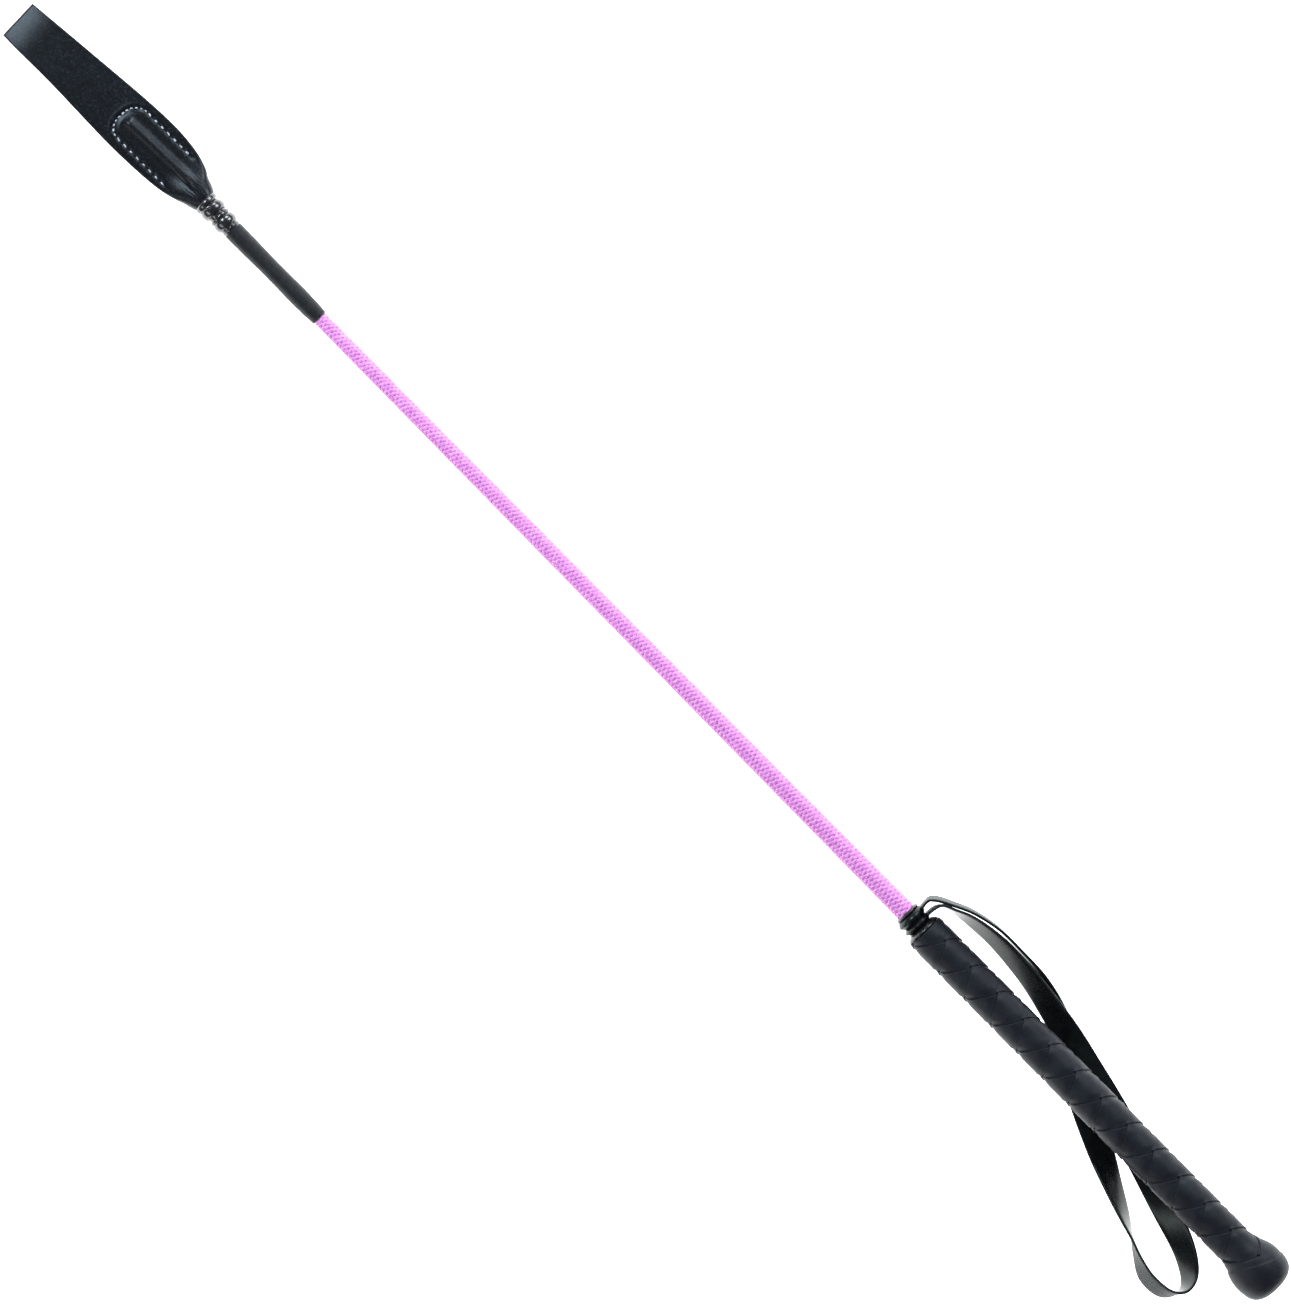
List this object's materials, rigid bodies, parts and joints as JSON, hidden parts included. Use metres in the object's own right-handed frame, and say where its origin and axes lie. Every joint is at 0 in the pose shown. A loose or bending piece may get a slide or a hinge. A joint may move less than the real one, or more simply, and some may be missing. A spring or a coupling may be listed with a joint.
{
  "type": "riding crop",
  "caption": "Riding crop: tapered rod in a braided sleeve, wrapped handle with flared butt cap, leather wrist strap that turns on the neck, and a flexible folded leather keeper.",
  "frame": {"origin": "centre of the butt cap's flat end face, on the shaft's axis", "axes": "+X along the shaft from the butt to the keeper's tip, +Z out of the keeper's upper face, +Y to the side where the wrist strap's loop lies"},
  "size_m": [0.6603, 0.0568, 0.0227],
  "materials": {
    "rod": "pultruded glass-fibre rod, smooth",
    "braid": "tightly braided light pink cord sleeve",
    "binding_thread": "waxed black thread, wound close",
    "stitch_thread": "pale blue-grey sewing thread",
    "grip": "matt bluish black wrap with crossing laps",
    "keeper_leather": "fine-grained black leather, satin",
    "strap_leather": "glossy black strap leather",
    "collar_plastic": "glossy black plastic",
    "core": "turned wood, hidden"
  },
  "bodies": {
    "crop": {"core_rod": "rod", "braid_sleeve": "braid", "tip_binding": "binding_thread", "binding_ring_rear": "binding_thread", "binding_ring_front": "binding_thread", "keeper_pocket": "keeper_leather", "keeper_stitching_top": "stitch_thread", "keeper_stitching_back": "stitch_thread", "handle_core": "core", "grip_wrap": "grip", "butt_former": "core", "butt_cap": "grip", "neck_sleeve": "collar_plastic", "retaining_ring": "collar_plastic"},
    "strap_eyes": {"loop_eye_rear": "strap_leather", "loop_eye_front": "strap_leather"},
    "strap_loop": {"wrist_strap": "strap_leather"},
    "keeper_end": {"keeper_flap": "keeper_leather"}
  },
  "joints": [
    {"name": "strap_swivel", "type": "hinge", "parent": "crop", "child": "strap_eyes", "pos_m": [0.19, 0, 0], "axis": [1, 0, 0], "continuous": true},
    {"name": "strap_flex", "type": "hinge", "parent": "strap_eyes", "child": "strap_loop", "pos_m": [0.1885, -0.015, 0], "axis": [0, -0.4226, 0.9063], "range_deg": [0, 120], "stiffness_Nm_per_rad": 0.01},
    {"name": "keeper_flex", "type": "hinge", "parent": "crop", "child": "keeper_end", "pos_m": [0.609, 0, 0], "axis": [0, 1, 0], "range_deg": [-60, 60], "stiffness_Nm_per_rad": 0.03}
  ]
}
